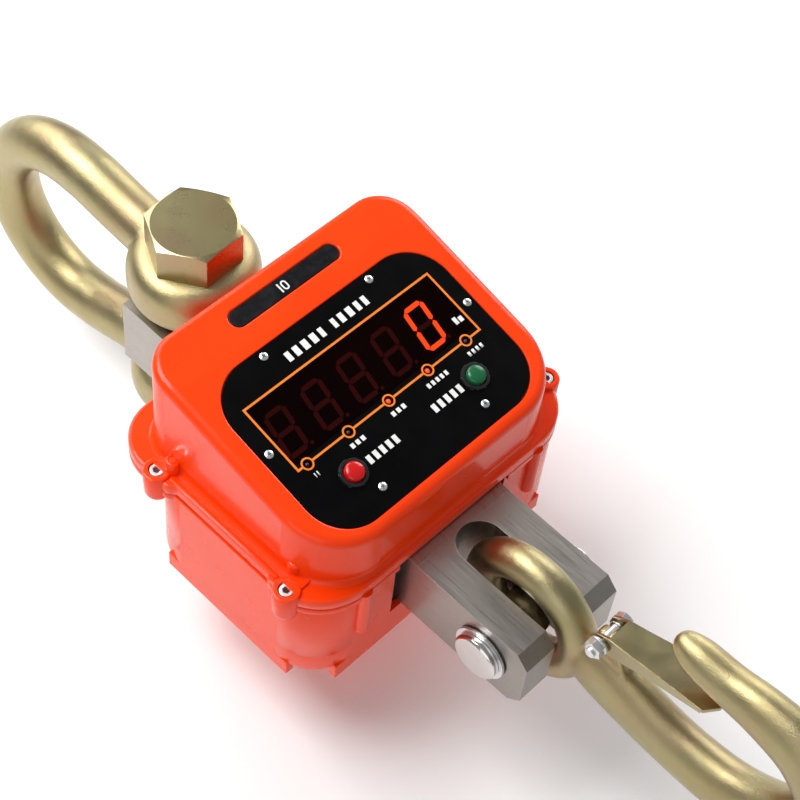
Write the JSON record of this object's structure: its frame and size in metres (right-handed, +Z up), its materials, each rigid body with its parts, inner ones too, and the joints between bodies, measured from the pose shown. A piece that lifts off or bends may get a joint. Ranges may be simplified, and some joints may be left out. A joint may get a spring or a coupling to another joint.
{
  "type": "crane scale",
  "caption": "Hanging crane scale: load-cell block in a cast case with a sloped digital display, hung from a bow shackle, with an eye hook and safety latch below.",
  "frame": {"origin": "inside of the shackle's crown, where a crane hook carries the scale", "axes": "+Z up as hung, -Y the way the display faces, +X to the right as the display is read, along the hook pin"},
  "size_m": [0.224, 0.2092, 0.6747],
  "materials": {
    "zinc_yellow": "yellow-passivated zinc, satin",
    "ground_steel": "ground, satin",
    "polished_steel": "polished",
    "dark_steel": "blackened",
    "stainless": "stainless, smooth",
    "orange_paint": "gloss orange-red paint on a casting",
    "panel_black": "black, fine texture",
    "window_red": "dark red filter",
    "rubber_black": "matt",
    "plastic_black": "satin",
    "button_red": "gloss",
    "button_green": "gloss",
    "digit_dark": "dark face with red segments",
    "led_red": "lit",
    "board_green": "lacquered",
    "cable_grey": "satin",
    "battery_grey": "wrapped",
    "brass": "turned",
    "cover_alu": "turned"
  },
  "bodies": {
    "shackle": {"shackle": "zinc_yellow", "shackle_bolt": "zinc_yellow", "shackle_nut": "zinc_yellow", "cotter_pin": "stainless"},
    "power_button": {"power_button": "button_red"},
    "tare_button": {"tare_button": "button_green"},
    "latch": {"latch": "zinc_yellow"},
    "hook": {"hook": "zinc_yellow", "latch_bolt": "stainless", "latch_nut": "stainless", "latch_spring": "stainless"},
    "scale": {"load_cell": "ground_steel", "front_gauge_cover": "cover_alu", "rear_gauge_cover": "cover_alu", "gauge_cable": "cable_grey", "upper_seal": "rubber_black", "lower_seal": "rubber_black", "hook_pin": "polished_steel", "pin_rings": "dark_steel", "rear_case": "orange_paint", "case_gasket": "rubber_black", "block_screws": "stainless", "battery": "battery_grey", "battery_bracket": "stainless", "bracket_screws": "stainless", "service_cover": "orange_paint", "service_gasket": "rubber_black", "service_screws": "stainless", "charging_socket": "plastic_black", "socket_cap": "rubber_black", "front_cover": "orange_paint", "cover_screws": "stainless", "capacity_plate": "panel_black", "main_board": "board_green", "main_board_standoffs": "brass", "main_board_screws": "stainless", "display_board": "board_green", "display_board_studs": "stainless", "digit_modules": "digit_dark", "indicator_leds": "led_red", "display_panel": "panel_black", "display_window": "window_red", "panel_gasket": "rubber_black", "panel_screws": "stainless", "power_bezel": "plastic_black", "power_switch": "plastic_black", "tare_bezel": "plastic_black", "tare_switch": "plastic_black"}
  },
  "joints": [
    {"name": "shackle_pivot", "type": "hinge", "parent": "shackle", "child": "scale", "pos_m": [0.00764, 0, -0.1458], "axis": [0, 1, 0], "range_deg": [-45, 45]},
    {"name": "hook_swing", "type": "hinge", "parent": "scale", "child": "hook", "pos_m": [0.01014, 0, -0.4213], "axis": [1, 0, 0], "range_deg": [-60, 60]},
    {"name": "latch_hinge", "type": "hinge", "parent": "hook", "child": "latch", "pos_m": [0.01014, -0.03849, -0.47245], "axis": [1, 0, 0], "range_deg": [0, 35], "stiffness_Nm_per_rad": 0.2, "springref_deg": -22.92},
    {"name": "power_press", "type": "slide", "parent": "scale", "child": "power_button", "axis": [0, 0.9711, 0.2385], "range_m": [0, 0.0025], "stiffness_N_per_m": 400},
    {"name": "tare_press", "type": "slide", "parent": "scale", "child": "tare_button", "axis": [0, 0.9711, 0.2385], "range_m": [0, 0.0025], "stiffness_N_per_m": 400}
  ]
}
